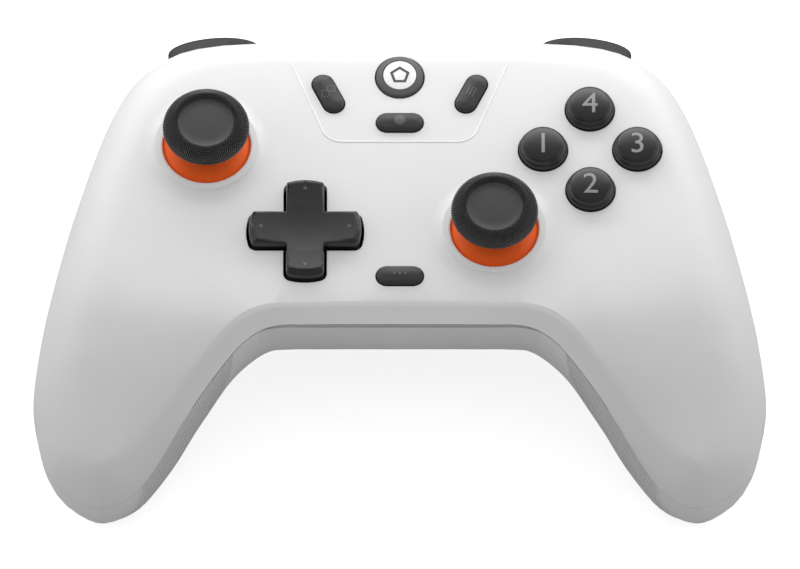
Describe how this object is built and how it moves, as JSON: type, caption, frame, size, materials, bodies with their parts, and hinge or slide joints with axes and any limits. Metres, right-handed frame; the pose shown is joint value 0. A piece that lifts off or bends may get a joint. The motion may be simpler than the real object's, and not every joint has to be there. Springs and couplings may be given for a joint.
{
  "type": "gamepad controller",
  "caption": "Two-grip gamepad with tilting thumbsticks in raised collars, a rocking direction pad, push buttons, bumpers and sprung triggers.",
  "frame": {"origin": "bottom centre of the box round the pad as it lies face up on its grips and trigger tips", "axes": "+X to the player's right across the grips, +Y towards the bumpers, +Z out of the face"},
  "size_m": [0.1552, 0.1024, 0.0571],
  "materials": {
    "shell_white": "matte white moulding",
    "button_black": "semi-gloss black",
    "pill_black": "satin black",
    "home_grey": "satin dark grey",
    "inlay_white": "smooth white",
    "cap_rubber": "knurled black rubber",
    "dome_orange": "satin orange",
    "bumper_grey": "satin dark grey",
    "board_green": "solder mask",
    "battery_wrap": "foil wrap",
    "silicone": "matte silicone",
    "inner_plastic": "plain moulding",
    "steel": "drawn steel",
    "screw_black": "blackened steel"
  },
  "bodies": {
    "housing": {"front_shell": "shell_white", "back_shell": "shell_white", "main_board": "board_green", "battery_pack": "battery_wrap", "charging_socket": "steel", "face_contact_pad": "silicone", "dpad_contact_pad": "silicone", "push_switches": "inner_plastic", "case_screws": "screw_black", "board_screws": "screw_black", "left_stick_base": "inner_plastic", "right_stick_base": "inner_plastic", "dpad_bracket": "inner_plastic", "bumper_brackets": "inner_plastic", "bumper_pins": "steel", "bumper_switches": "inner_plastic", "trigger_brackets": "inner_plastic", "trigger_pins": "steel", "left_trigger_spring": "steel", "right_trigger_spring": "steel", "left_motor": "steel", "right_motor": "steel"},
    "left_cradle": {"left_stick_cradle": "inner_plastic"},
    "left_yoke": {"left_stick_yoke": "steel"},
    "left_stick": {"left_stick_dome": "dome_orange", "left_stick_cap": "cap_rubber"},
    "right_cradle": {"right_stick_cradle": "inner_plastic"},
    "right_yoke": {"right_stick_yoke": "steel"},
    "right_stick": {"right_stick_dome": "dome_orange", "right_stick_cap": "cap_rubber"},
    "dpad_ring": {"dpad_yoke": "steel"},
    "dpad_cross": {"dpad": "button_black"},
    "left_face": {"left_face_button": "button_black"},
    "lower_face": {"lower_face_button": "button_black"},
    "right_face": {"right_face_button": "button_black"},
    "upper_face": {"upper_face_button": "button_black"},
    "view": {"view_button": "pill_black"},
    "menu": {"menu_button": "pill_black"},
    "share": {"share_button": "pill_black"},
    "mode": {"mode_button": "pill_black"},
    "home": {"home_button": "home_grey", "home_inlay": "inlay_white"},
    "left_bumper": {"left_bumper": "bumper_grey"},
    "left_trigger": {"left_trigger": "bumper_grey"},
    "left_weight": {"left_motor_weight": "steel"},
    "right_bumper": {"right_bumper": "bumper_grey"},
    "right_trigger": {"right_trigger": "bumper_grey"},
    "right_weight": {"right_motor_weight": "steel"}
  },
  "joints": [
    {"name": "left_stick_press", "type": "slide", "parent": "housing", "child": "left_cradle", "axis": [0, 0, -1], "range_m": [0, 0.0007], "stiffness_N_per_m": 1000, "springref_m": -0.0015},
    {"name": "left_stick_pitch", "type": "hinge", "parent": "left_cradle", "child": "left_yoke", "pos_m": [-0.041, 0.0185, 0.0375], "axis": [1, 0, 0], "range_deg": [-18, 18], "stiffness_Nm_per_rad": 0.04},
    {"name": "left_stick_roll", "type": "hinge", "parent": "left_yoke", "child": "left_stick", "pos_m": [-0.041, 0.0185, 0.0375], "axis": [0, 1, 0], "range_deg": [-18, 18], "stiffness_Nm_per_rad": 0.04},
    {"name": "right_stick_press", "type": "slide", "parent": "housing", "child": "right_cradle", "axis": [0, 0, -1], "range_m": [0, 0.0007], "stiffness_N_per_m": 1000, "springref_m": -0.0015},
    {"name": "right_stick_pitch", "type": "hinge", "parent": "right_cradle", "child": "right_yoke", "pos_m": [0.02, -0.0022, 0.0375], "axis": [1, 0, 0], "range_deg": [-18, 18], "stiffness_Nm_per_rad": 0.04},
    {"name": "right_stick_roll", "type": "hinge", "parent": "right_yoke", "child": "right_stick", "pos_m": [0.02, -0.0022, 0.0375], "axis": [0, 1, 0], "range_deg": [-18, 18], "stiffness_Nm_per_rad": 0.04},
    {"name": "dpad_pitch", "type": "hinge", "parent": "housing", "child": "dpad_ring", "pos_m": [-0.02, -0.0023, 0.042], "axis": [1, 0, 0], "range_deg": [-5, 5], "stiffness_Nm_per_rad": 0.06},
    {"name": "dpad_roll", "type": "hinge", "parent": "dpad_ring", "child": "dpad_cross", "pos_m": [-0.02, -0.0023, 0.042], "axis": [0, 1, 0], "range_deg": [-5, 5], "stiffness_Nm_per_rad": 0.06},
    {"name": "left_face_press", "type": "slide", "parent": "housing", "child": "left_face", "axis": [0, 0, -1], "range_m": [0, 0.0014], "stiffness_N_per_m": 300, "springref_m": -0.001},
    {"name": "lower_face_press", "type": "slide", "parent": "housing", "child": "lower_face", "axis": [0, 0, -1], "range_m": [0, 0.0014], "stiffness_N_per_m": 300, "springref_m": -0.001},
    {"name": "right_face_press", "type": "slide", "parent": "housing", "child": "right_face", "axis": [0, 0, -1], "range_m": [0, 0.0014], "stiffness_N_per_m": 300, "springref_m": -0.001},
    {"name": "upper_face_press", "type": "slide", "parent": "housing", "child": "upper_face", "axis": [0, 0, -1], "range_m": [0, 0.0014], "stiffness_N_per_m": 300, "springref_m": -0.001},
    {"name": "view_press", "type": "slide", "parent": "housing", "child": "view", "axis": [0, 0, -1], "range_m": [0, 0.0005], "stiffness_N_per_m": 1500, "springref_m": -0.0005},
    {"name": "menu_press", "type": "slide", "parent": "housing", "child": "menu", "axis": [0, 0, -1], "range_m": [0, 0.0005], "stiffness_N_per_m": 1500, "springref_m": -0.0005},
    {"name": "share_press", "type": "slide", "parent": "housing", "child": "share", "axis": [0, 0, -1], "range_m": [0, 0.0005], "stiffness_N_per_m": 1500, "springref_m": -0.0005},
    {"name": "mode_press", "type": "slide", "parent": "housing", "child": "mode", "axis": [0, 0, -1], "range_m": [0, 0.0005], "stiffness_N_per_m": 1500, "springref_m": -0.0005},
    {"name": "home_press", "type": "slide", "parent": "housing", "child": "home", "axis": [0, 0, -1], "range_m": [0, 0.0005], "stiffness_N_per_m": 1500, "springref_m": -0.0005},
    {"name": "left_bumper_swing", "type": "hinge", "parent": "housing", "child": "left_bumper", "pos_m": [-0.016, 0.0428, 0.034], "axis": [0, 0, 1], "range_deg": [0, 2.5], "stiffness_Nm_per_rad": 0.3, "springref_deg": -5.73},
    {"name": "left_trigger_pull", "type": "hinge", "parent": "housing", "child": "left_trigger", "pos_m": [-0.0405, 0.033, 0.026], "axis": [-1, 0, 0], "range_deg": [0, 16], "stiffness_Nm_per_rad": 0.1, "springref_deg": -22.92},
    {"name": "left_motor_spin", "type": "hinge", "parent": "housing", "child": "left_weight", "pos_m": [-0.061, -0.024, 0.03], "axis": [0, 0, 1], "continuous": true},
    {"name": "right_bumper_swing", "type": "hinge", "parent": "housing", "child": "right_bumper", "pos_m": [0.016, 0.0428, 0.034], "axis": [0, 0, -1], "range_deg": [0, 2.5], "stiffness_Nm_per_rad": 0.3, "springref_deg": -5.73},
    {"name": "right_trigger_pull", "type": "hinge", "parent": "housing", "child": "right_trigger", "pos_m": [0.0405, 0.033, 0.026], "axis": [-1, 0, 0], "range_deg": [0, 16], "stiffness_Nm_per_rad": 0.1, "springref_deg": -22.92},
    {"name": "right_motor_spin", "type": "hinge", "parent": "housing", "child": "right_weight", "pos_m": [0.061, -0.024, 0.03], "axis": [0, 0, 1], "continuous": true}
  ]
}
